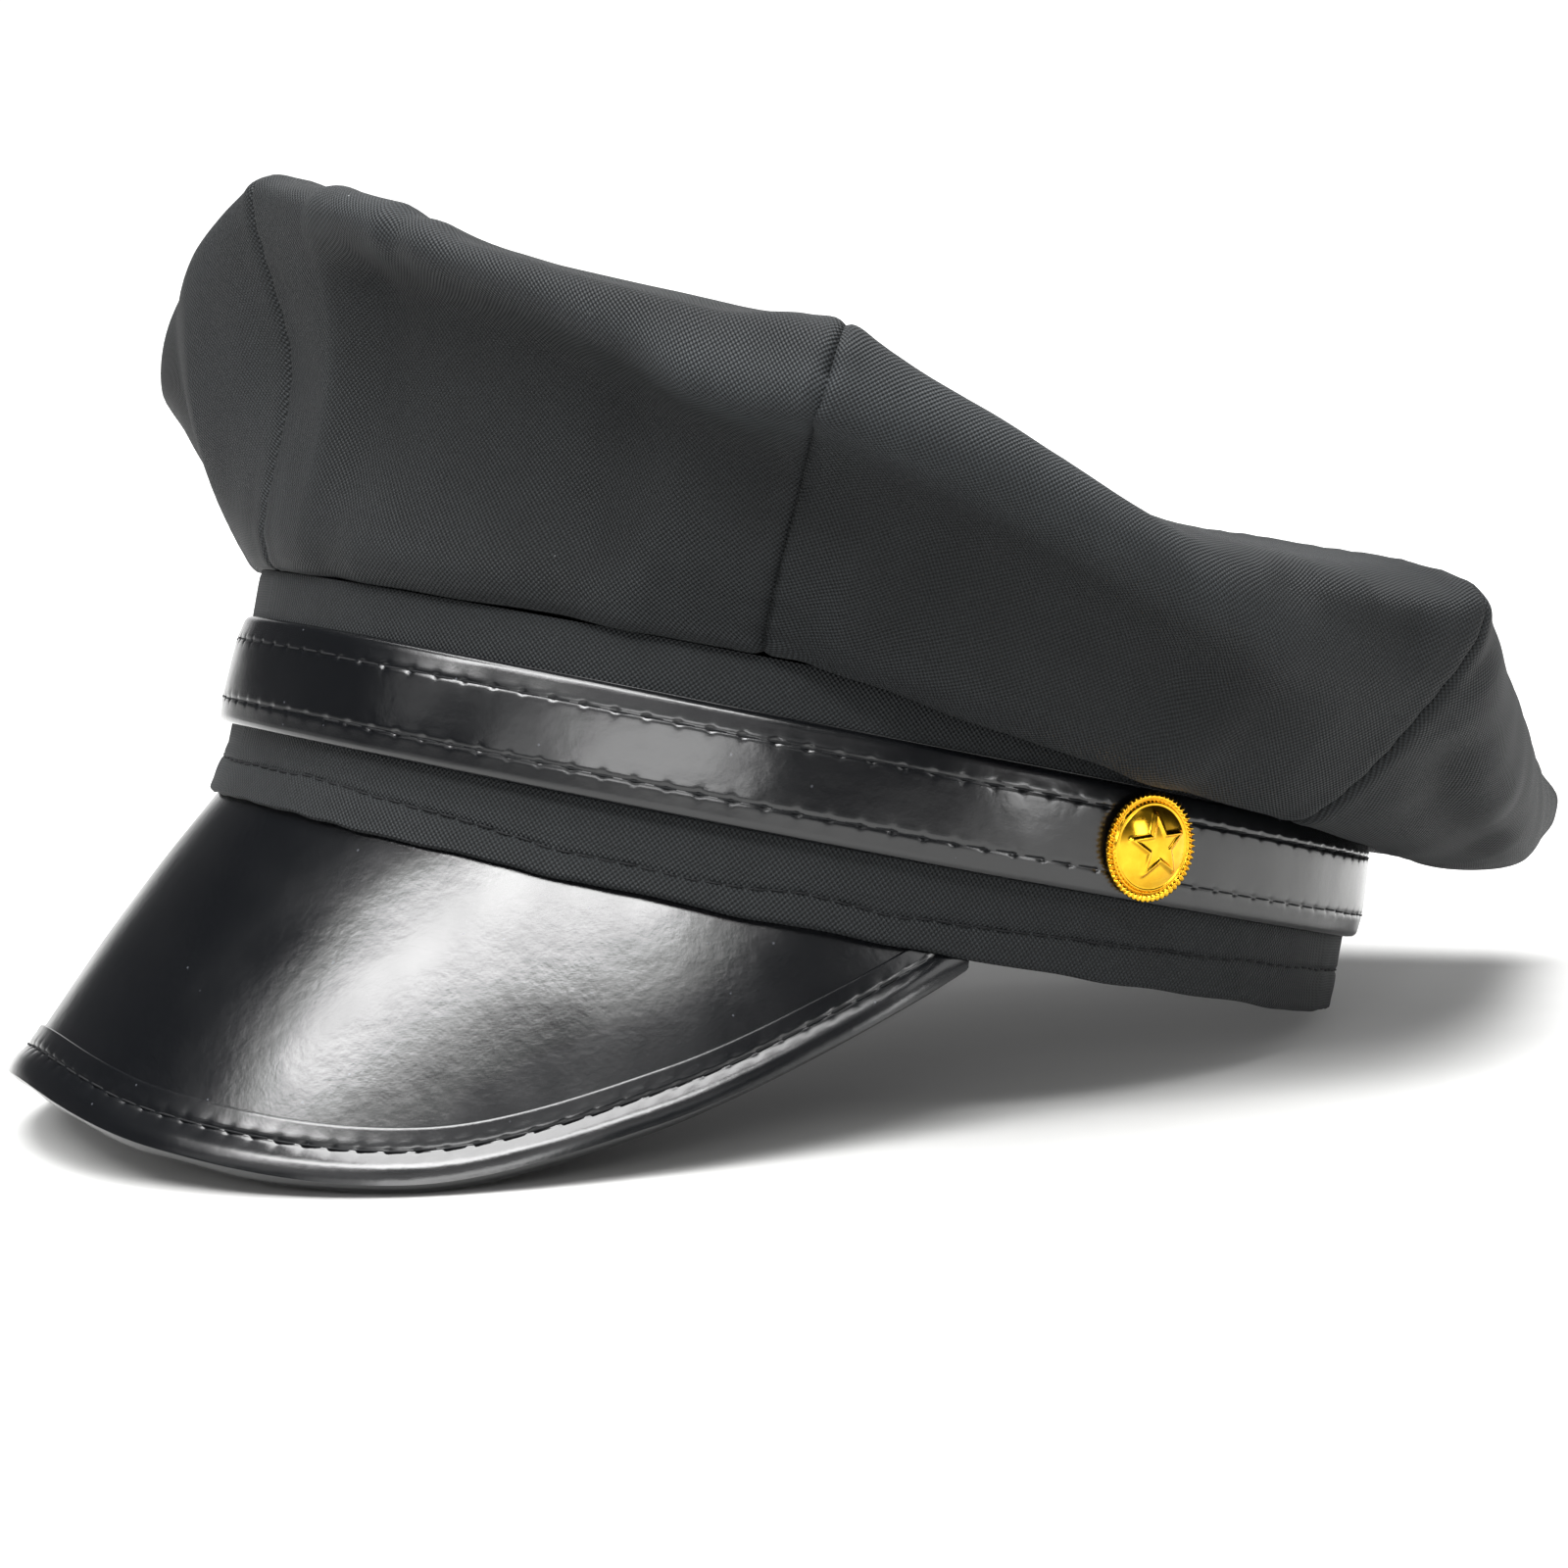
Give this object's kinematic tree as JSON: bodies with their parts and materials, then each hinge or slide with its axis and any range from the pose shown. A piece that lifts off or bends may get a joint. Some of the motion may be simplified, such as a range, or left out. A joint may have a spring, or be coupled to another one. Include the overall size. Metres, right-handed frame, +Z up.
{
  "type": "chauffeur cap",
  "caption": "Soft cloth peaked cap with a slouched, pointed gore crown, a tall band, a glossy patent strap held by gilt side buttons, and a steep glossy bound visor.",
  "frame": {"origin": "bottom centre of the bounding box, on the surface that the cap rests on", "axes": "+X towards the visor, +Y towards the wearer's left, +Z up from the surface; the cap stands on its visor's edge and the back of its hem, so its band leans back"},
  "size_m": [0.297, 0.2276, 0.1564],
  "materials": {
    "black_cloth": "soft black plain-weave cloth",
    "patent_strap": "black patent strap, smooth and glossy, stitched along both edges",
    "patent_visor": "smooth glossy black patent sheet",
    "patent_binding": "glossy black patent binding strip, stitched",
    "gilt_brass": "bright gilt stamped brass"
  },
  "bodies": {
    "root": {"head_band": "black_cloth", "crown_gore_front_left": "black_cloth", "crown_gore_front_right": "black_cloth", "crown_gore_side_left": "black_cloth", "crown_gore_side_right": "black_cloth", "crown_gore_rear_left": "black_cloth", "crown_gore_rear_right": "black_cloth", "patent_strap": "patent_strap", "visor": "patent_visor", "visor_binding": "patent_binding", "button_left": "gilt_brass", "button_right": "gilt_brass"}
  },
  "joints": []
}
